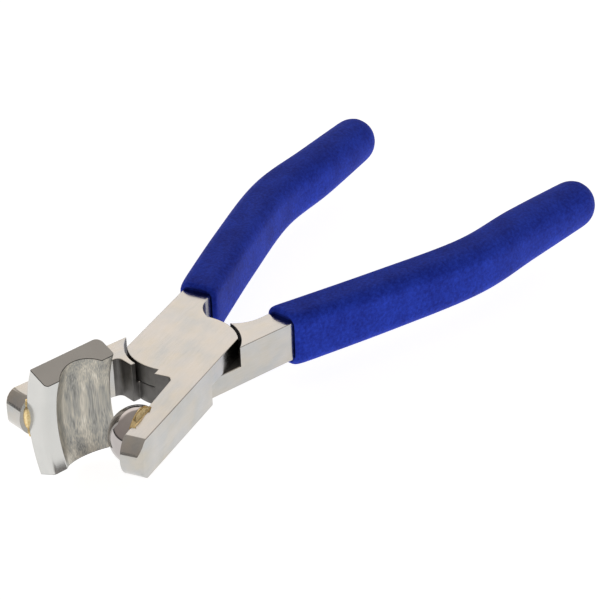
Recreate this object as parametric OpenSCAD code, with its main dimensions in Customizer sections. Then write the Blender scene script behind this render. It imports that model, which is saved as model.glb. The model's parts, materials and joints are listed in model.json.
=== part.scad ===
// Bracelet forming pliers: lap-jointed steel arms that carry a domed punch on one jaw
// and a grooved arc die on the other. Each tang is sheathed in a soft cushion grip.
// The pivot runs along Z through the origin at mid-thickness, the handles point to +X,
// and the dome arm's handle lies on the +Y side. Millimetres.

/* [Joint] */
// Thickness of both arms at the joint
steel_t = 11.6; // [9:0.1:14]
// Width of the closed bar across both arms
bar_w = 26; // [24:0.5:28]
// Radius of each arm's half-thickness joint plate
plate_r = 15; // [14.5:0.1:15.2]
// Radius of the hollow shoulders that the other arm's plate turns in
shoulder_r = 15.8; // [15.6:0.1:16.2]
// Running gap between the two half-thickness plates
lap_gap = 0.06; // [0.04:0.01:0.12]
// Angle of each arm from the centre line as the tool lies open
half_open = 12.1; // [6:0.1:20]
// Radius of the rivet shank
rivet_r = 4; // [3:0.1:5]
// Radius of the rivet's countersunk heads at the steel's faces
rivet_head_r = 5.6; // [5.2:0.1:6.5]
// Radial running clearance between the rivet and the die arm
rivet_clear = 0.05; // [0.02:0.01:0.09]

/* [Jaws] */
// Distance from the pivot to the jaw tip
jaw_len = 49.9; // [49:0.1:54]
// Distance from the pivot to the middle of the dome
dome_s = 37.4; // [36.5:0.1:38]
// Distance from the pivot to the middle of the die
die_s = 36.1; // [36:0.1:37.5]
// Depth of the jaw's inner face from the centre line at the dome or die
jaw_face = 6.6; // [6.2:0.1:7.2]
// Taper of the dome jaw towards its tip, in degrees
dome_taper = 2.6; // [0:0.1:4]
// Flare of the die jaw towards its tip, in degrees
die_taper = -2.3; // [-3:0.1:0]
// Radius of the bull-nosed tips, seen from the side
nose_r = 6.4; // [6:0.1:8]
// Distance from the pivot to the step at the back of the jaw throat
throat_s = 17.3; // [16.8:0.1:18]

/* [Dome] */
// Radius of the dome
dome_r = 8; // [7:0.1:8.1]
// Height of the straight rim under the dome
dome_rim = 0.4; // [0.2:0.1:1]

/* [Die] */
// Radius of the die's curved back, in the vertical plane
die_back_r = 41.6; // [38:0.1:46]
// Thickness of the die from its back to its lands
die_t = 7; // [6:0.1:8]
// Angle that the die's arc spans
die_sweep = 45.5; // [36:0.5:50]
// Length of the die along the jaw
die_len = 22.8; // [20:0.1:25]
// Radius of the groove along the die's hollow face
groove_r = 8.65; // [8.5:0.05:9.2]
// Depth of the groove below the lands
groove_depth = 3.5; // [3:0.1:4]
// Offset of the groove from the die's middle towards the jaw tip
groove_shift = 0; // [-0.5:0.1:1]

/* [Grips] */
// Distance from the pivot to the mouth of the dome arm's grip
dome_mouth_s = 25.9; // [25.5:0.1:27]
// Distance from the pivot to the mouth of the die arm's grip
die_mouth_s = 27.5; // [26:0.1:28]
// Angle by which the dome arm's grip reaches less far forward on its outer side
dome_mouth_tilt = 2; // [0:0.5:6]
// Angle by which the die arm's grip reaches less far forward on its outer side
die_mouth_tilt = 5.5; // [0:0.5:6]
// Gap all round between the steel tang and the slot in its grip
grip_fit = 0.1; // [0.05:0.05:0.3]
// Half width of the steel tang inside the grip
tang_hw = 3; // [2.5:0.1:3.5]
// Half height of the steel tang inside the grip
tang_hh = 3.6; // [3:0.1:4.5]

/* [Hidden] */
$fn = 96;
half_t = steel_t / 2;
half_w = bar_w / 2;
far = 220;

// the neck behind the joint: its inner side, the fillet into the plate and its end
neck_q = 4.4;
neck_fillet_r = 10.15;
neck_fillet_s = 23.5;
neck_end_s = 31;
// the ground flats end in an arc before the grip's mouth: how far before it, how deep
// the forged steel lies below them, and the arc's radius
relief_back = 0.9;
relief_d = 0.5;
relief_r = 13.5;
// the land beside the joint at the back of the throat, and the throat's corner
land_q = 0.3;
throat_r = 1.6;
throat_q = 5.8;
tip_corner_r = 2;
seat_margin = 0.3;

// layers of brazing filler behind the dome and the die
dome_braze_t = 0.2;
die_braze_t = 0.15;
braze_fillet = 1.1;

// centre line and section of a grip: [s, q, half width, half height, corner radius]
GRIP = [[26.1, 8.75, 5.95, 8.25, 3.5],
        [60, 13.55, 6.35, 8.3, 4.4],
        [91.5, 16.65, 6.8, 8.2, 5.4],
        [116, 13.6, 7.2, 8.1, 6.4],
        [141, 11, 7.2, 7.5, 7.1]];
grip_steps = 7;
corner_steps = 5;
tang_end_s = 134;

function tangent(i) =
    i == 0 ? GRIP[1] - GRIP[0]
    : i == len(GRIP) - 1 ? (GRIP[i] - GRIP[i - 1]) * 0.8
    : (GRIP[i + 1] - GRIP[i - 1]) / 2;

// a smooth cubic between the stations i and i + 1, with t from 0 to 1
function station(i, t) =
    GRIP[i] * (2*t*t*t - 3*t*t + 1) + tangent(i) * (t*t*t - 2*t*t + t)
    + GRIP[i + 1] * (3*t*t - 2*t*t*t) + tangent(i + 1) * (t*t*t - t*t);

LINE = [for (i = [0 : len(GRIP) - 2], k = [0 : grip_steps - 1]) station(i, k / grip_steps),
        GRIP[len(GRIP) - 1]];

function heading(i) =
    let (a = LINE[max(i - 1, 0)], b = LINE[min(i + 1, len(LINE) - 1)])
    atan2(b[1] - a[1], b[0] - a[0]);

// a grip's section at the station p, facing along h: a rounded rectangle moved on by
// `ahead`, taken in by `inset` and shrunk by `shrink`
function section(p, h, ahead = 0, inset = 0, shrink = 1) =
    let (a = (p[2] - inset) * shrink, b = (p[3] - inset) * shrink,
         r = max(p[4] - inset, 1) * shrink)
    [for (c = [0 : 3], k = [0 : corner_steps])
        let (t = 90 * c + 90 * k / corner_steps,
             x = (c == 0 || c == 3 ? a - r : r - a) + r * cos(t),
             z = (c < 2 ? b - r : r - b) + r * sin(t))
        [p[0] + ahead * cos(h) - x * sin(h), p[1] + ahead * sin(h) + x * cos(h), z]];

function ring(i, ahead = 0, shrink = 1) = section(LINE[i], heading(i), ahead, 0, shrink);

// the station of a grip's mouth at the distance `mouth` from the pivot
function mouth_station(mouth) =
    let (on = mouth - GRIP[0][0]) GRIP[0] + [on, on * tan(heading(0)), 0, 0, 0];

// the dome arm is placed with its handle to +Y; the die arm is the same forging turned
// over about the long axis
module on_dome_side() { rotate(half_open) children(); }
module on_die_side() { rotate([180, 0, 0]) rotate(half_open) children(); }

// plan view of one arm, jaw towards -X, handle towards +X and +Y; the jaw's flat seat
// reaches `seat` behind its middle
module arm_plan(taper, mid_s, seat) {
    face_slope = tan(taper);
    fillet_c = [neck_fillet_s, neck_q - neck_fillet_r];
    // the joint plate
    intersection() {
        circle(plate_r);
        square([far, bar_w], center = true);
    }
    // the neck, hollowed on its inner side by the fillet into the plate
    difference() {
        translate([0, -land_q]) square([neck_end_s, half_w + land_q]);
        translate(fillet_c) circle(neck_fillet_r);
        translate([neck_fillet_s, -half_w]) square([far, half_w + neck_q]);
    }
    // the jaw
    difference() {
        union() {
            translate([-throat_s, -half_w]) square([throat_s, half_w - land_q]);
            translate([-jaw_len, -half_w]) square([jaw_len, half_w - throat_q + 2]);
        }
        // the throat's rounded corner, the ramp to the seat and the tapered seat
        polygon([[-throat_s, 0], [-throat_s, -throat_q + throat_r],
                 for (k = [0 : 6]) [-throat_s - throat_r, -throat_q + throat_r]
                     + throat_r * [cos(15 * k), -sin(15 * k)],
                 [seat - mid_s, seat * face_slope - jaw_face],
                 [-jaw_len - 1, -jaw_face - (jaw_len + 1 - mid_s) * face_slope],
                 [-jaw_len - 1, 0]]);
        // the tip's rounded outer corner
        translate([-jaw_len - 1, -half_w - 1]) difference() {
            square(tip_corner_r + 1);
            translate([tip_corner_r + 1, tip_corner_r + 1]) circle(tip_corner_r);
        }
    }
}

// the steel tang, with `extra` all round when it is used to cut the grip's slot
module tang(extra = 0, neck_s = neck_end_s - 1) {
    hw = tang_hw + extra;
    pts = [for (i = [0 : len(LINE) - 1]) if (LINE[i][0] < tang_end_s) i];
    translate([0, 0, -tang_hh - extra]) linear_extrude(2 * (tang_hh + extra)) {
        polygon(concat(
            [for (i = pts) [LINE[i][0] - hw * sin(heading(i)), LINE[i][1] + hw * cos(heading(i))]],
            [for (k = [len(pts) - 1 : -1 : 0]) let (i = pts[k])
                [LINE[i][0] + hw * sin(heading(i)), LINE[i][1] - hw * cos(heading(i))]]));
        translate([LINE[len(pts) - 1][0], LINE[len(pts) - 1][1]]) circle(hw);
    }
    neck_hh = half_t - relief_d + extra;
    translate([neck_s, neck_q - extra, -neck_hh])
        cube([neck_end_s + extra - neck_s, half_w - neck_q + 2 * extra, 2 * neck_hh]);
}

// one forged arm: full thickness at jaw and neck, half thickness at the joint
module arm(taper, mid_s, seat, mouth, mouth_tilt) {
    intersection() {
        difference() {
            union() {
                translate([0, 0, lap_gap / 2]) linear_extrude(half_t - lap_gap / 2)
                    arm_plan(taper, mid_s, seat);
                translate([0, 0, -half_t]) linear_extrude(steel_t) difference() {
                    arm_plan(taper, mid_s, seat);
                    circle(shoulder_r);
                }
            }
            // the neck's flats end in an arc before the grip
            for (turn = [0, 1]) mirror([0, 0, turn])
                translate([mouth - relief_back, (neck_q + half_w) / 2, half_t - relief_d])
                    rotate(-mouth_tilt) translate([relief_r, 0, 0]) cylinder(r = relief_r, h = 2);
        }
        // the bull-nosed tip
        union() {
            translate([nose_r - jaw_len, -far / 2, -half_t]) cube([far, far, steel_t]);
            translate([nose_r - jaw_len, far / 2, 0]) rotate([90, 0, 0]) cylinder(r = nose_r, h = far);
        }
    }
    tang();
}

// a countersunk hole along Z, wider than the rivet by `clear`
module rivet_shape(clear = 0) {
    flare = rivet_head_r - rivet_r;
    rotate_extrude() polygon([
        [0, -half_t], [rivet_head_r + clear, -half_t], [rivet_r + clear, flare - half_t],
        [rivet_r + clear, half_t - flare], [rivet_head_r + clear, half_t], [0, half_t]]);
}

// frame of the dome or die: origin on the jaw's inner face, +Y square to that face
module at_face(taper, mid_s) {
    translate([-mid_s, -jaw_face]) rotate(taper) children();
}

// the turned ring that the die is cut from, standing in the vertical plane
module die_ring(inner, outer, length) {
    translate([0, die_back_r, 0]) rotate([90, 0, -90]) rotate(-die_sweep / 2)
        rotate_extrude(angle = die_sweep) difference() {
            translate([inner, -length / 2]) square([outer - inner, length]);
            translate([inner + groove_depth - groove_r, groove_shift]) circle(groove_r);
        }
}

// a soft sleeve that follows the handle's curve and closes in a round end
module grip(mouth, mouth_tilt) {
    last = len(LINE) - 1;
    end_r = LINE[last][2];
    rings = concat(
        [for (lip = [[0, 1.1], [0.35, 0.35], [1.1, 0]])
            section(mouth_station(mouth), -mouth_tilt, lip[0], lip[1])],
        [for (i = [1 : last]) ring(i)],
        [for (t = [15 : 15 : 75]) ring(last, end_r * sin(t), cos(t))]);
    n = len(rings[0]);
    m = len(rings);
    apex = [LINE[last][0] + end_r * cos(heading(last)), LINE[last][1] + end_r * sin(heading(last)), 0];
    difference() {
        polyhedron(
            points = concat([for (r = rings, p = r) p], [apex]),
            faces = concat(
                [[for (k = [0 : n - 1]) k]],
                [for (j = [0 : m - 2], k = [0 : n - 1])
                    [j * n + k, (j + 1) * n + k, (j + 1) * n + (k + 1) % n, j * n + (k + 1) % n]],
                [for (k = [0 : n - 1]) [(m - 1) * n + k, m * n, (m - 1) * n + (k + 1) % n]]),
            convexity = 6);
        tang(grip_fit, mouth - 2);
    }
}

module dome_arm() {
    color("silver") on_dome_side() difference() {
        arm(dome_taper, dome_s, dome_r + seat_margin, dome_mouth_s, dome_mouth_tilt);
        rivet_shape();
    }
}

module die_arm() {
    color("silver") on_die_side() difference() {
        arm(die_taper, die_s, die_len / 2 + seat_margin, die_mouth_s, die_mouth_tilt);
        rivet_shape(rivet_clear);
    }
}

module pivot_rivet() {
    color("lightgray") rivet_shape();
}

module forming_dome() {
    color("gainsboro") on_dome_side() at_face(dome_taper, dome_s)
        translate([0, dome_braze_t, 0]) rotate([-90, 0, 0]) rotate_extrude() {
            square([dome_r, dome_rim]);
            translate([0, dome_rim]) intersection() {
                circle(dome_r);
                square(dome_r);
            }
        }
}

module dome_braze() {
    color("goldenrod") on_dome_side() at_face(dome_taper, dome_s)
        rotate([-90, 0, 0]) cylinder(r = dome_r - 0.15, h = dome_braze_t);
}

module forming_die() {
    color("gainsboro") on_die_side() at_face(die_taper, die_s)
        translate([0, die_braze_t, 0]) die_ring(die_back_r - die_t, die_back_r, die_len);
}

module die_braze() {
    color("goldenrod") on_die_side() at_face(die_taper, die_s) {
        // the layer between the flat jaw and the die's curved back
        rotate([90, 0, 90]) translate([0, 0, -die_len / 2]) linear_extrude(die_len - 0.3)
            difference() {
                translate([0, 0.2 - half_t]) square([1, steel_t - 0.4]);
                translate([die_back_r + die_braze_t, 0]) circle(die_back_r, $fn = 720);
            }
        // fillet of filler in the corner between the die's end and the jaw's tip
        translate([-die_len / 2, 0, -3]) linear_extrude(6)
            polygon([[0, 0], [0, braze_fillet], [-0.4, 0.4], [-braze_fillet, 0]]);
    }
}

module dome_arm_grip() {
    color("mediumblue") on_dome_side() grip(dome_mouth_s, dome_mouth_tilt);
}

module die_arm_grip() {
    color("mediumblue") on_die_side() grip(die_mouth_s, die_mouth_tilt);
}

dome_arm();
die_arm();
pivot_rivet();
forming_dome();
dome_braze();
forming_die();
die_braze();
dome_arm_grip();
die_arm_grip();
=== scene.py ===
"""Bracelet forming pliers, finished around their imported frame.

The parts follow in the order in which the tool is made: forged arms, rivet, dome and its
filler, die and its filler, cushion grips, and then the studio. Lengths are in metres.
"""

import json
import math

import bmesh
import bpy
from mathutils import Matrix, Vector

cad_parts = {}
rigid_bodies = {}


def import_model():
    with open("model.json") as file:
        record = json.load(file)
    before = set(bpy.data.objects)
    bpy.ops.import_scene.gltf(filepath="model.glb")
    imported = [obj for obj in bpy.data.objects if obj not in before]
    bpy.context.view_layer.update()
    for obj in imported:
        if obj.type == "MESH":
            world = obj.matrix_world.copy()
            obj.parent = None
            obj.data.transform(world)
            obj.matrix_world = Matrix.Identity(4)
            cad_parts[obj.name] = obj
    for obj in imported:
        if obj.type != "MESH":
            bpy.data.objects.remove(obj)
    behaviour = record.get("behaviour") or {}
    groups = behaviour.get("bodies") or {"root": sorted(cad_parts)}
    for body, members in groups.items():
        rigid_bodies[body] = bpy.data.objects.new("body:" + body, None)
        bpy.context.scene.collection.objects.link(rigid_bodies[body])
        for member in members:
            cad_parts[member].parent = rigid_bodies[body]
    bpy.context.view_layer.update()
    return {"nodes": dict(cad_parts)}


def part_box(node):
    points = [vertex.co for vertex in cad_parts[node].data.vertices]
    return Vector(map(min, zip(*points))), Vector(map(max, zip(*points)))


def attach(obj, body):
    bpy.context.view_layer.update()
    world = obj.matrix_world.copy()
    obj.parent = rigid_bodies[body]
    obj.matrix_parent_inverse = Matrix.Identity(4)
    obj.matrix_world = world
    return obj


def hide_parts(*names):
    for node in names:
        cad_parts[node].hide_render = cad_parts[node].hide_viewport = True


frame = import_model()


# ------------------------------------------------------------------------------------------
# The two arms. Each is one drop-forged steel bar, milled to half its thickness at the joint.
# The outside is ground and satin-polished and its edges are broken with a stone. The lap
# faces, the shoulders and the throat stay dark, as the cutter left them. Past the pivot the
# shoulders and plate edges are painted near black instead: painted shade of the joint's gap.

MM = 0.001
FINE = 0.001 * MM
HALF_OPEN = math.radians(12.1)
LAID_LIKE_DOME_ARM = Matrix.Rotation(HALF_OPEN, 4, "Z")
LAID_LIKE_DIE_ARM = Matrix.Rotation(math.pi, 4, "X") @ Matrix.Rotation(HALF_OPEN, 4, "Z")
BROKEN_EDGE = 0.3 * MM
TIP_EDGE = 0.08 * MM
NOSE_START = -43.6 * MM
SHARP = math.radians(28)
RIVET_HOLE = 6.2 * MM
PLATE = 15 * MM
SHOULDER = 15.8 * MM
THROAT_BACK = 19.2 * MM
THROAT_FLOOR = -6 * MM
THROAT_REACH = 14.5 * MM
NEAR = 0.1 * MM
DOME_MOUTH = 25.9 * MM
DIE_MOUTH = 27.5 * MM
COOL_STEEL = (0.41, 0.43, 0.43)
WARM_STEEL = (0.50, 0.47, 0.40)
BRIGHT_STEEL = (0.60, 0.585, 0.57)
MILLED_COLOUR = (0.17, 0.165, 0.16)
# Near black: painted shade for the shoulders and plate edges in the joint's gap.
PAINTED_GAP_SHADE = (0.022, 0.022, 0.021)


class Socket:
    """An output in a node tree. Arithmetic with it adds Math nodes, and node() any other."""

    def __init__(self, tree, link=None):
        self.tree = tree
        self.link = link

    def node(self, kind, settings=None, sockets=None, out=0):
        made = self.tree.nodes.new(kind)
        for name, value in (settings or {}).items():
            if name == "stops":
                ramp = made.color_ramp
                while len(ramp.elements) < len(value):
                    ramp.elements.new(1.0)
                for stop, (place, shade) in zip(ramp.elements, value):
                    stop.position = place
                    stop.color = (*shade, 1.0)
            else:
                setattr(made, name, value)
        for name, value in (sockets or {}).items():
            if isinstance(value, Socket):
                self.tree.links.new(value.link, made.inputs[name])
            else:
                made.inputs[name].default_value = value
        return Socket(self.tree, made.outputs[out] if len(made.outputs) else None)

    def math(self, operation, first, second=0.0):
        return self.node("ShaderNodeMath", {"operation": operation}, {0: first, 1: second})

    def __add__(self, other):
        return self.math("ADD", self, other)

    def __sub__(self, other):
        return self.math("SUBTRACT", self, other)

    def __mul__(self, other):
        return self.math("MULTIPLY", self, other)

    __radd__ = __add__
    __rmul__ = __mul__


def new_material(name):
    """An empty material and the Socket that its nodes start from."""
    made = bpy.data.materials.new(name)
    made.use_nodes = True
    made.node_tree.nodes.clear()
    return made, Socket(made.node_tree)


def object_coordinates(start, turn=0.0, stretch=(1, 1, 1)):
    """The piece's own coordinates, turned about Z and stretched."""
    place = start.node("ShaderNodeTexCoord", out=3)
    return start.node("ShaderNodeMapping", {"vector_type": "TEXTURE"},
                      {"Vector": place, "Rotation": (0, 0, turn), "Scale": stretch})


def noise(place, size, detail=2.0):
    """Soft noise about 0.5 whose lumps are about `size` metres wide."""
    return place.node("ShaderNodeTexNoise", {},
                      {"Vector": place, "Scale": 1 / size, "Detail": detail})


def tinted(start, dark, light, share):
    """A colour between dark and light by share. Each may itself be a Socket."""
    ends = [end if isinstance(end, Socket) else (*end, 1) for end in (dark, light)]
    return start.node("ShaderNodeMix", {"data_type": "RGBA"},
                      {0: share, 6: ends[0], 7: ends[1]}, out=2)


def bumped(start, height, strength, distance):
    """A normal that follows the height, which stands for `distance` metres at 1."""
    return start.node("ShaderNodeBump", {},
                      {"Strength": strength, "Distance": distance, "Height": height})


def coat(start, colour, roughness, metallic=1.0, normal=None, **constants):
    """Ends a material in a Principled shader."""
    sockets = {"Base Color": colour, "Roughness": roughness, "Metallic": metallic, **constants}
    if normal:
        sockets["Normal"] = normal
    shader = start.node("ShaderNodeBsdfPrincipled", {}, sockets)
    start.node("ShaderNodeOutputMaterial", {}, {"Surface": shader})


def ground_steel(name, lie):
    """Satin-ground steel: fine scratches along the arm, cloudy polish, warmer smears."""
    made, start = new_material(name)
    along = object_coordinates(start, lie, (14, 1, 1))
    scratches = noise(along, 0.35 * MM, 3)
    clouds = noise(object_coordinates(start), 9 * MM, 3)
    patches = noise(object_coordinates(start, lie, (1.6, 1, 1)), 5 * MM, 2)
    stained = tinted(start, COOL_STEEL, WARM_STEEL, 3 * patches - 1)
    colour = tinted(start, stained, BRIGHT_STEEL, 1.1 * clouds + 0.6 * scratches - 0.4)
    bump = bumped(start, scratches, 0.06, 0.02 * MM)
    coat(start, colour, 0.10 + 0.10 * clouds + 0.06 * scratches, normal=bump)
    return made


def milled_steel(name, lie, shade):
    """Dark unpolished steel with the cutter's shallow ridges and traces of oil. Given a
    near-black colour, it stands for painted shade or a painted reflection instead.
    """
    made, start = new_material(name)
    ridges = noise(object_coordinates(start, lie, (1, 9, 9)), 0.5 * MM)
    stain = noise(object_coordinates(start), 3 * MM, 4)
    colour = tinted(start, [0.5 * c for c in shade], [1.6 * c for c in shade], stain)
    bump = bumped(start, ridges, 0.25, 0.05 * MM)
    coat(start, colour, 0.34 + 0.25 * stain, metallic=0.9, normal=bump)
    return made


def work_on(piece):
    """Makes one object the only selected and active one."""
    bpy.ops.object.select_all(action="DESELECT")
    piece.select_set(True)
    bpy.context.view_layer.objects.active = piece


def edit(piece):
    """Opens a piece in edit mode with nothing selected, and returns its bmesh."""
    work_on(piece)
    bpy.ops.object.mode_set(mode="EDIT")
    bpy.ops.mesh.select_all(action="DESELECT")
    return bmesh.from_edit_mesh(piece.data)


def pick(piece, mesh, chosen):
    """Selects exactly these vertices, edges or faces of a piece in edit mode."""
    bpy.ops.mesh.select_all(action="DESELECT")
    for element in chosen:
        element.select_set(True)
    mesh.select_flush_mode()
    bmesh.update_edit_mesh(piece.data)


def close_edit():
    bpy.ops.object.mode_set(mode="OBJECT")


def merged_copy(node, name, flatness=0.4):
    """A copy of a CAD node's mesh, with its loose triangles merged into clean faces."""
    piece = bpy.data.objects.new(name, frame["nodes"][node].data.copy())
    bpy.context.scene.collection.objects.link(piece)
    piece.data.materials.clear()
    edit(piece)
    bpy.ops.mesh.customdata_custom_splitnormals_clear()
    bpy.ops.mesh.select_all(action="SELECT")
    bpy.ops.mesh.remove_doubles(threshold=2 * FINE)
    if flatness:
        bpy.ops.mesh.dissolve_limited(angle_limit=math.radians(flatness))
    else:
        bpy.ops.mesh.tris_convert_to_quads()
    close_edit()
    return piece


def modify(piece, kind, **settings):
    """Adds a modifier to a piece and applies it."""
    work_on(piece)
    bpy.ops.object.modifier_add(type=kind)
    for name, value in settings.items():
        setattr(piece.modifiers[-1], name, value)
    bpy.ops.object.modifier_apply(modifier=piece.modifiers[-1].name)


def smooth(piece, angle=35):
    """Smooth shading that keeps hard edges hard and large flat faces flat."""
    work_on(piece)
    bpy.ops.object.shade_smooth_by_angle(angle=math.radians(angle))
    modify(piece, "WEIGHTED_NORMAL", keep_sharp=True)


def finish_of(centre, normal):
    """Which finish a face of an arm has, in the arm's own lie: 0 ground, 1 milled, 2 near-black
    painted shade.
    """
    reach = centre.xy.length
    upright = abs(normal.z) < 0.3
    lap = abs(centre.z) < NEAR and abs(normal.z) > 0.9
    shoulder = abs(reach - SHOULDER) < 1.5 * NEAR and upright
    plate_edge = (abs(reach - PLATE) < NEAR and upright
                  and normal.xy.normalized().dot(centre.xy.normalized()) > 0.99)
    throat = (-THROAT_BACK < centre.x < 0 and centre.y > THROAT_FLOOR
              and abs(normal.z) < 0.5 and reach > THROAT_REACH)
    # Past the pivot the shoulder and plate edge get the near-black painted shade.
    if centre.x > 0 and (shoulder or plate_edge):
        return 2
    return int(lap or shoulder or plate_edge or throat)


def forged_arm(node, name, laid, mouth, body):
    arm = merged_copy(node, name)
    to_lie = laid.inverted()
    for width, jaw_end in ((BROKEN_EDGE, False), (TIP_EDGE, True)):
        mesh = edit(arm)
        worn = []
        for edge in mesh.edges:
            middle = to_lie @ ((edge.verts[0].co + edge.verts[1].co) / 2)
            seen = middle.x < mouth + 0.5 * MM and middle.xy.length > RIVET_HOLE
            at_tip = middle.x < NOSE_START
            if seen and at_tip == jaw_end and edge.is_convex and edge.calc_face_angle(0) > SHARP:
                worn.append(edge)
        pick(arm, mesh, worn)
        bpy.ops.mesh.bevel(offset=width, segments=2, affect="EDGES", clamp_overlap=False)
        close_edit()
    lie = HALF_OPEN if body == "dome_side" else -HALF_OPEN
    arm.data.materials.append(ground_steel(name + "_ground", lie))
    arm.data.materials.append(milled_steel(name + "_milled", lie, MILLED_COLOUR))
    # The third material is the near-black painted shade of the joint's gap.
    arm.data.materials.append(milled_steel(name + "_oiled", lie, PAINTED_GAP_SHADE))
    turn = to_lie.to_3x3()
    for face in arm.data.polygons:
        face.material_index = finish_of(to_lie @ face.center, turn @ face.normal)
    smooth(arm, 25)
    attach(arm, body)
    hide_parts(node)


forged_arm("dome_arm", "dome_arm_forging", LAID_LIKE_DOME_ARM, DOME_MOUTH,
           "dome_side")
forged_arm("die_arm", "die_arm_forging", LAID_LIKE_DIE_ARM, DIE_MOUTH,
           "die_side")


# ------------------------------------------------------------------------------------------
# The pivot rivet. It is soft steel, hammered into the countersinks of both arms and then
# ground flush with them, so that only a hairline ring shows. It keeps its CAD shape.

rivet = frame["nodes"]["pivot_rivet"]
rivet.data.materials.clear()
rivet.data.materials.append(ground_steel("rivet_ground", HALF_OPEN))


# ------------------------------------------------------------------------------------------
# The dome. It is turned from tool steel, polished to a mirror because it touches the work,
# and brazed by its flat back to the inner face of the dome arm's jaw.

JAW_FACE = 6.6 * MM
DOME_S = 37.4 * MM
DOME_TAPER = math.radians(2.6)
DOME_R = 8 * MM
DOME_RIM = 0.4 * MM
DOME_LAYER = 0.2 * MM
DOME_EDGE = 0.12 * MM
DOME_DARK = (0.40, 0.375, 0.37)
DOME_LIGHT = (0.56, 0.53, 0.52)
DOME_SEAT = (LAID_LIKE_DOME_ARM @ Matrix.Translation((-DOME_S, -JAW_FACE, 0))
             @ Matrix.Rotation(DOME_TAPER, 4, "Z"))
FACING_OUT = Matrix.Rotation(-math.pi / 2, 4, "X")


def polished_steel(name, shine, dark, light):
    """Mirror-polished steel with a faint haze, buffing swirls and a few hairlines."""
    made, start = new_material(name)
    place = object_coordinates(start)
    haze = noise(place, 5 * MM, 3)
    hairlines = noise(object_coordinates(start, 0.6, (1, 20, 20)), 0.25 * MM, 4)
    colour = tinted(start, dark, light, haze)
    bump = bumped(start, hairlines, 0.03, 0.02 * MM)
    coat(start, colour, shine + 0.08 * haze + 0.03 * hairlines, normal=bump)
    return made


def primitive(add, name, **options):
    """Adds a primitive with nothing else selected, and names it."""
    bpy.ops.object.select_all(action="DESELECT")
    add(**options)
    piece = bpy.context.object
    piece.name = name
    return piece


def settle(piece, matrix):
    """Moves a piece to its place inside its mesh, so that its object stays at the origin."""
    piece.data.transform(matrix @ piece.matrix_world)
    piece.matrix_world = Matrix.Identity(4)


def finish_piece(piece, body, slot, *nodes):
    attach(piece, body)
    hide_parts(*nodes)


dome = primitive(bpy.ops.mesh.primitive_uv_sphere_add, "polished_dome",
                 segments=128, ring_count=64, radius=DOME_R)
mesh = edit(dome)
bpy.ops.mesh.select_all(action="SELECT")
bpy.ops.mesh.bisect(plane_co=(0, 0, 0), plane_no=(0, 0, 1), clear_inner=True,
                    threshold=FINE)
pick(dome, mesh, [edge for edge in mesh.edges if edge.is_boundary])
bpy.ops.mesh.extrude_region_move(TRANSFORM_OT_translate={"value": (0, 0, -DOME_RIM)})
bpy.ops.mesh.edge_face_add()
pick(dome, mesh, [edge for edge in mesh.edges if edge.calc_face_angle(0) > SHARP])
bpy.ops.mesh.bevel(offset=DOME_EDGE, segments=3, affect="EDGES", clamp_overlap=False)
bpy.ops.mesh.select_all(action="SELECT")
bpy.ops.mesh.normals_make_consistent(inside=False)
close_edit()
settle(dome, DOME_SEAT @ Matrix.Translation((0, DOME_LAYER + DOME_RIM, 0)) @ FACING_OUT)
dome.data.materials.append(polished_steel("mirror_steel", 0.03, DOME_DARK, DOME_LIGHT))
smooth(dome)
finish_piece(dome, "dome_side", "dome_steel", "forming_dome")


# ------------------------------------------------------------------------------------------
# The dome's brazing filler. It is brass-coloured: a thin layer behind the dome, and a
# dished fillet where the dome's back stands above and below the jaw's flat faces.

HALF_THICK = 5.8 * MM
FILLER_R = 7.85 * MM
FILLET_BACK = 1.0 * MM
DISH = 0.3 * MM
DISH_RIM = 0.28 * MM
SUNK = 0.02 * MM


def brazing_brass(name):
    """Brass filler as it froze: slow ripples, a bright skin and brown flux stains."""
    made, start = new_material(name)
    place = object_coordinates(start)
    ripple = noise(place, 0.9 * MM, 3)
    flux = noise(place, 0.5 * MM, 5)
    stain = start.node("ShaderNodeValToRGB", {"stops": [
        (0.25, (0.50, 0.34, 0.14)), (0.45, (0.86, 0.66, 0.33)), (0.7, (1.0, 0.86, 0.52))]},
        {0: flux})
    bump = bumped(start, ripple, 0.35, 0.08 * MM)
    coat(start, stain, 0.22 + 0.2 * flux, normal=bump)
    return made


filler = primitive(bpy.ops.mesh.primitive_cylinder_add, "dome_filler", vertices=128,
                   radius=FILLER_R, depth=DOME_LAYER, location=(0, 0, DOME_LAYER / 2))
for side in (1, -1):
    fillet = primitive(bpy.ops.mesh.primitive_cylinder_add, "fillet", vertices=128,
                       radius=FILLER_R, depth=FILLET_BACK,
                       location=(0, 0, SUNK - FILLET_BACK / 2))
    settle(fillet, Matrix.Identity(4))
    mesh = edit(fillet)
    bpy.ops.mesh.select_all(action="SELECT")
    bpy.ops.mesh.bisect(plane_co=(0, side * HALF_THICK, 0), plane_no=(0, side, 0),
                        clear_inner=True, use_fill=True, threshold=FINE)
    bpy.ops.mesh.select_all(action="SELECT")
    bpy.ops.mesh.bisect(plane_co=(0, side * FILLER_R, 0),
                        plane_no=(0, side * FILLET_BACK, HALF_THICK - FILLER_R),
                        clear_outer=True, use_fill=True, threshold=FINE)
    bpy.ops.mesh.select_all(action="SELECT")
    bpy.ops.mesh.normals_make_consistent(inside=False)
    mesh = bmesh.from_edit_mesh(fillet.data)
    pick(fillet, mesh, [face for face in mesh.faces
                        if face.normal.z < -0.3 and face.normal.y * side > 0.1])
    bpy.ops.mesh.inset(thickness=DISH_RIM, depth=-DISH)
    close_edit()
    filler.select_set(True)
    bpy.context.view_layer.objects.active = filler
    bpy.ops.object.join()
settle(filler, DOME_SEAT @ FACING_OUT)
filler.data.materials.append(brazing_brass("dome_brass"))
smooth(filler)
finish_piece(filler, "dome_side", "dome_filler", "dome_braze")


# ------------------------------------------------------------------------------------------
# The die. It is a block cut from a turned ring, with a groove turned along its hollow face.
# Its outside is polished, and the groove keeps the streaks of a round file. The chamfers
# round its two end faces are painted near black: a painted reflection of the dark tent.

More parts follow.
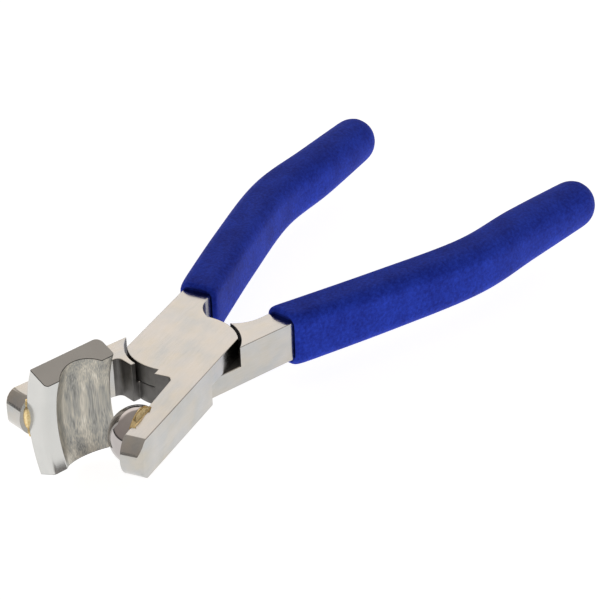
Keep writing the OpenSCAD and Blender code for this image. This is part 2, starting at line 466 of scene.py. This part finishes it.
DIE_S = 36.1 * MM
DIE_TAPER = math.radians(-2.3)
DIE_LEN = 22.8 * MM
DIE_T = 7 * MM
DIE_BACK_R = 41.6 * MM
DIE_LAYER = 0.15 * MM
DIE_SWEEP = math.radians(45.5)
DIE_EDGE = 0.14 * MM
BLOCK_SWEEP = DIE_SWEEP - 2 * DIE_EDGE / DIE_BACK_R
GROOVE_R = 8.65 * MM
GROOVE_DEPTH = 3.5 * MM
LAND_Y = DIE_LAYER + DIE_T
GROOVE_Y = LAND_Y - GROOVE_DEPTH + GROOVE_R
GROOVE_HALF = math.acos((GROOVE_R - GROOVE_DEPTH) / GROOVE_R)
GROOVE_REACH = GROOVE_R * math.sin(GROOVE_HALF)
RING_Y = DIE_LAYER + DIE_BACK_R
# Near black for the end chamfers: a painted reflection of the tent's dark band.
PAINTED_EDGE_REFLECTION = (0.05, 0.048, 0.046)
ROUNDED_CORNERS = ((-DIE_LEN / 2, DIE_LAYER, 0.5 * MM), (DIE_LEN / 2, DIE_LAYER, 2 * MM),
                   (DIE_LEN / 2, LAND_Y, 1.0 * MM), (-DIE_LEN / 2, LAND_Y, 1.2 * MM),
                   (-GROOVE_REACH, LAND_Y, 0.35 * MM), (GROOVE_REACH, LAND_Y, 0.35 * MM))
DIE_DARK = (0.58, 0.585, 0.57)
DIE_LIGHT = (0.65, 0.655, 0.635)
DIE_SEAT = (LAID_LIKE_DIE_ARM @ Matrix.Translation((-DIE_S, -JAW_FACE, 0))
            @ Matrix.Rotation(DIE_TAPER, 4, "Z"))


def filed_steel(name, turn):
    """The groove's filed steel: streaks up and down, warm and cool smudges, soft gloss."""
    made, start = new_material(name)
    streaks = noise(object_coordinates(start, turn, (1, 1, 60)), 0.26 * MM, 3)
    smudges = noise(object_coordinates(start, turn, (1, 1, 4)), 2.6 * MM, 3)
    colour = start.node("ShaderNodeValToRGB", {"stops": [
        (0.32, (0.17, 0.17, 0.16)), (0.45, (0.36, 0.36, 0.34)), (0.55, (0.55, 0.52, 0.45)),
        (0.70, (0.85, 0.82, 0.74))]}, {0: 0.55 * smudges + 0.45 * streaks})
    bump = bumped(start, streaks, 0.3, 0.04 * MM)
    coat(start, colour, 0.3 + 0.22 * streaks, normal=bump)
    return made


die = primitive(bpy.ops.mesh.primitive_plane_add, "arc_die", size=1)
mesh = edit(die)
bpy.ops.mesh.select_all(action="SELECT")
bpy.ops.transform.resize(value=(DIE_LEN, DIE_T, 1))
bpy.ops.transform.translate(value=(0, DIE_LAYER + DIE_T / 2, 0))
bpy.ops.mesh.delete(type="ONLY_FACE")
pick(die, mesh, [edge for edge in mesh.edges
                 if all(vert.co.y > LAND_Y - NEAR for vert in edge.verts)])
bpy.ops.mesh.delete(type="EDGE")
left = min((vert for vert in mesh.verts if vert.co.y > DIE_T / 2),
           key=lambda vert: vert.co.x)
pick(die, mesh, [left])
bpy.ops.mesh.extrude_region_move(TRANSFORM_OT_translate={
    "value": (-GROOVE_REACH + DIE_LEN / 2, 0, 0)})
bpy.ops.mesh.spin(steps=28, angle=2 * GROOVE_HALF, center=(0, GROOVE_Y, 0),
                  axis=(0, 0, -1))
mesh = bmesh.from_edit_mesh(die.data)
loose_ends = [vert for vert in mesh.verts if len(vert.link_edges) == 1]
pick(die, mesh, loose_ends)
bpy.ops.mesh.edge_face_add()
for x, y, radius in ROUNDED_CORNERS:
    mesh = bmesh.from_edit_mesh(die.data)
    corner = min(mesh.verts, key=lambda vert: (vert.co - Vector((x, y, 0))).length)
    pick(die, mesh, [corner])
    bpy.ops.mesh.bevel(offset=radius, segments=5, affect="VERTICES", clamp_overlap=False)
bpy.ops.mesh.select_all(action="SELECT")
bpy.ops.mesh.spin(steps=72, angle=BLOCK_SWEEP, center=(0, RING_Y, 0), axis=(-1, 0, 0))
mesh = bmesh.from_edit_mesh(die.data)
ends = [edge for edge in mesh.edges if edge.is_boundary]
for low in (True, False):
    pick(die, mesh, [edge for edge in ends
                     if all(abs(vert.co.z) < NEAR for vert in edge.verts) == low])
    bpy.ops.mesh.edge_face_add()
bpy.ops.mesh.select_all(action="SELECT")
bpy.ops.mesh.normals_make_consistent(inside=False)
mesh = bmesh.from_edit_mesh(die.data)
pick(die, mesh, [face for face in mesh.faces if len(face.verts) > 8])
bpy.ops.mesh.inset(thickness=DIE_EDGE, depth=DIE_EDGE)
close_edit()
die.data.materials.append(polished_steel("die_polish", 0.12, DIE_DARK, DIE_LIGHT))
die.data.materials.append(filed_steel("die_groove", -HALF_OPEN - DIE_TAPER))
die.data.materials.append(milled_steel("die_edge_painted_reflection", HALF_OPEN, PAINTED_EDGE_REFLECTION))
for face in die.data.polygons:
    out = RING_Y - math.hypot(face.center.y - RING_Y, face.center.z)
    from_axis = math.hypot(face.center.x, out - GROOVE_Y)
    on_back_land = face.center.x > GROOVE_REACH and out > LAND_Y - 2 * NEAR
    face.material_index = int(on_back_land or abs(from_axis - GROOVE_R) < NEAR / 2)
    around = math.atan2(-face.center.z, RING_Y - face.center.y)
    # The end chamfers take the near-black painted reflection.
    if not 0 < around < BLOCK_SWEEP and len(face.vertices) < 9:
        face.material_index = 2
AROUND_RING = (Matrix.Translation((0, RING_Y, 0)) @ Matrix.Rotation(-BLOCK_SWEEP / 2, 4, "X")
               @ Matrix.Translation((0, -RING_Y, 0)))
settle(die, DIE_SEAT @ AROUND_RING)
smooth(die)
finish_piece(die, "die_side", "die_steel", "forming_die")


# ------------------------------------------------------------------------------------------
# The die's brazing filler. It fills the sliver between the flat jaw and the die's curved
# back, and shows as a fillet in the corner at the jaw's tip.

BEAD_R = 0.55 * MM
BEAD_REACH = 1.1 * MM
BEAD_HALF = 3.2 * MM
BEAD_SUNK = 0.1 * MM
LAYER_END = 0.05 * MM
die_filler = merged_copy("die_braze", "die_filler")
mesh = edit(die_filler)
bpy.ops.mesh.select_all(action="SELECT")
bpy.ops.mesh.bisect(plane_co=DIE_SEAT @ Vector((LAYER_END - DIE_LEN / 2, 0, 0)),
                    plane_no=DIE_SEAT.to_3x3() @ Vector((1, 0, 0)), clear_inner=True,
                    use_fill=True, threshold=FINE)
close_edit()
bead = primitive(bpy.ops.mesh.primitive_uv_sphere_add, "bead", segments=24, ring_count=32,
                 radius=BEAD_R)
mesh = edit(bead)
bpy.ops.mesh.select_all(action="SELECT")
bpy.ops.transform.resize(value=(BEAD_REACH / BEAD_R, 1, BEAD_HALF / BEAD_R))
close_edit()
settle(bead, DIE_SEAT @ Matrix.Translation((BEAD_SUNK - DIE_LEN / 2, BEAD_SUNK, 0)))
die_filler.select_set(True)
bpy.context.view_layer.objects.active = die_filler
bpy.ops.object.join()
die_filler.data.materials.append(brazing_brass("die_brass"))
smooth(die_filler, 50)
finish_piece(die_filler, "die_side", "die_filler", "die_braze")


# ------------------------------------------------------------------------------------------
# The cushion grips. Each is a soft blue foam sleeve pushed over the tang, with a fine
# leathery skin. Its mouth is rolled inwards and leaves a narrow dark pocket at the steel.

MOUTH_TILT_DOME = math.radians(2)
MOUTH_TILT_DIE = math.radians(5.5)
LIP = ((0.0, 0.955), (0.35 * MM, 0.96), (1.2 * MM, 1.0))


def foam(name):
    """Blue foam with a moulded skin: matt, mottled, and paler where it is seen edge-on."""
    made, start = new_material(name)
    place = object_coordinates(start)
    mottle = noise(place, 0.9 * MM, 4)
    pores = noise(place, 0.28 * MM, 3)
    patches = noise(place, 9 * MM, 2)
    share = 0.45 * mottle + 0.25 * pores + 0.3 * patches
    colour = tinted(start, (0.003, 0.014, 0.27), (0.021, 0.062, 0.62), 3.4 * share - 1.2)
    bump = bumped(start, 0.6 * pores + 0.4 * mottle, 0.8, 0.1 * MM)
    coat(start, colour, 0.62 + 0.16 * mottle, metallic=0.0, normal=bump,
         **{"Sheen Weight": 0.10, "Sheen Roughness": 0.5, "Sheen Tint": (0.25, 0.35, 1, 1),
            "Specular IOR Level": 0.14})
    return made


def cushion_grip(node, name, laid, tilt, body, slot):
    grip = merged_copy(node, name, 0)
    inward = laid.to_3x3() @ Vector((math.cos(tilt), -math.sin(tilt), 0))
    mesh = edit(grip)
    front = min(vert.co.dot(inward) for vert in mesh.verts)
    pick(grip, mesh, [face for face in mesh.faces
                      if all(vert.co.dot(inward) < front + 0.02 * MM for vert in face.verts)])
    bpy.ops.mesh.delete(type="FACE")
    mesh = bmesh.from_edit_mesh(grip.data)
    pick(grip, mesh, [max(mesh.verts, key=lambda vert: vert.co.dot(inward))])
    bpy.ops.mesh.select_linked()
    bpy.ops.mesh.select_all(action="INVERT")
    bpy.ops.mesh.delete(type="VERT")
    bpy.ops.mesh.select_all(action="SELECT")
    bpy.ops.mesh.tris_convert_to_quads(face_threshold=math.radians(60),
                                       shape_threshold=math.radians(60))
    mesh = bmesh.from_edit_mesh(grip.data)
    rim = [edge for edge in mesh.edges if edge.is_boundary]
    middle = sum((vert.co for edge in rim for vert in edge.verts), Vector()) / (2 * len(rim))
    pick(grip, mesh, rim)
    for ahead, shrink in LIP:
        bpy.ops.mesh.extrude_region_move(TRANSFORM_OT_translate={"value": ahead * inward})
        middle += ahead * inward
        bpy.ops.transform.resize(value=(shrink, shrink, shrink), center_override=middle)
    bpy.ops.mesh.edge_face_add()
    bpy.ops.mesh.select_all(action="SELECT")
    bpy.ops.mesh.normals_make_consistent(inside=False)
    close_edit()
    modify(grip, "SUBSURF", levels=2)
    grip.data.materials.append(foam(name + "_foam"))
    work_on(grip)
    bpy.ops.object.shade_smooth()
    finish_piece(grip, body, slot, node)


cushion_grip("dome_arm_grip", "dome_arm_cushion", LAID_LIKE_DOME_ARM, MOUTH_TILT_DOME,
             "dome_side", "dome_grip_foam")
cushion_grip("die_arm_grip", "die_arm_cushion", LAID_LIKE_DIE_ARM, MOUTH_TILT_DIE,
             "die_side", "die_grip_foam")


# ------------------------------------------------------------------------------------------
# The studio: a pale table, a light tent that is bright at its walls and dull above, and
# the camera.

UNDER_DIE = 0.2 * MM
FLOOR_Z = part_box("forming_die")[0].z - UNDER_DIE
FLOOR_SIZE = 6.0
bpy.ops.object.select_all(action="DESELECT")
bpy.ops.mesh.primitive_plane_add(size=FLOOR_SIZE, location=(0, 0, 0))
floor = bpy.context.object
floor.name = "table_top"
floor.data.transform(Matrix.Translation((0, 0, FLOOR_Z)))
paper, start = new_material("white_paper")
shader = start.node("ShaderNodeBsdfPrincipled", {}, {
    "Base Color": (0.45, 0.45, 0.45, 1), "Roughness": 0.9,
    "Emission Color": (1, 1, 1, 1), "Emission Strength": 0.86})
start.node("ShaderNodeOutputMaterial", {}, {"Surface": shader})
floor.data.materials.append(paper)

world = bpy.data.worlds.new("light_tent")
bpy.context.scene.world = world
world.use_nodes = True
world.node_tree.nodes.clear()
sky = Socket(world.node_tree)
direction = sky.node("ShaderNodeTexCoord", out=0)
east, north, height = (
    sky.node("ShaderNodeSeparateXYZ", {}, {"Vector": direction}, out=axis) for axis in range(3))
softbox = sky.node("ShaderNodeValToRGB", {"stops": [
    (0.0, (0.9, 0.9, 0.88)), (0.01, (0.03, 0.03, 0.03)), (0.25, (0.04, 0.04, 0.04)),
    (0.33, (1.32, 1.23, 1.16)), (0.56, (1.36, 1.26, 1.18)), (0.66, (0.52, 0.47, 0.43)),
    (1.0, (0.46, 0.42, 0.385))]}, {0: height})
room = sky.node("ShaderNodeValToRGB", {"stops": [
    (0.0, (0.9, 0.9, 0.88)), (0.01, (0.03, 0.03, 0.03)), (0.06, (0.05, 0.05, 0.05)),
    (0.13, (0.40, 0.36, 0.34)), (1.0, (0.46, 0.42, 0.385))]}, {0: height})
behind = sky.node("ShaderNodeMath", {"operation": "MULTIPLY_ADD", "use_clamp": True},
                  {0: 0.79 * east + 0.61 * north, 1: 3.0, 2: -1.2})
tent = tinted(sky, room, softbox, behind)
background = sky.node("ShaderNodeBackground", {}, {"Color": tent, "Strength": 1.0})
sky.node("ShaderNodeOutputWorld", {}, {"Surface": background})

AIM = Vector((25.4, -20.7, 13.3)) * MM
AZIMUTH = math.radians(37.44)
ELEVATION = math.radians(29.62)
ROLL = math.radians(1.94)
DISTANCE = 625.9 * MM
camera_data = bpy.data.cameras.new("camera")
camera_data.sensor_width = 36
camera_data.lens = 139.19
camera = bpy.data.objects.new("camera", camera_data)
bpy.context.scene.collection.objects.link(camera)
bpy.context.scene.camera = camera
view = Vector((math.cos(ELEVATION) * math.cos(AZIMUTH),
               math.cos(ELEVATION) * math.sin(AZIMUTH), -math.sin(ELEVATION)))
camera.rotation_mode = "QUATERNION"
camera.rotation_quaternion = (view.to_track_quat("-Z", "Y")
                              @ Matrix.Rotation(-ROLL, 3, "Z").to_quaternion())
camera.location = AIM - view * DISTANCE
camera_data.clip_start = 0.01
camera_data.clip_end = 20

bpy.context.scene.view_settings.view_transform = "Standard"
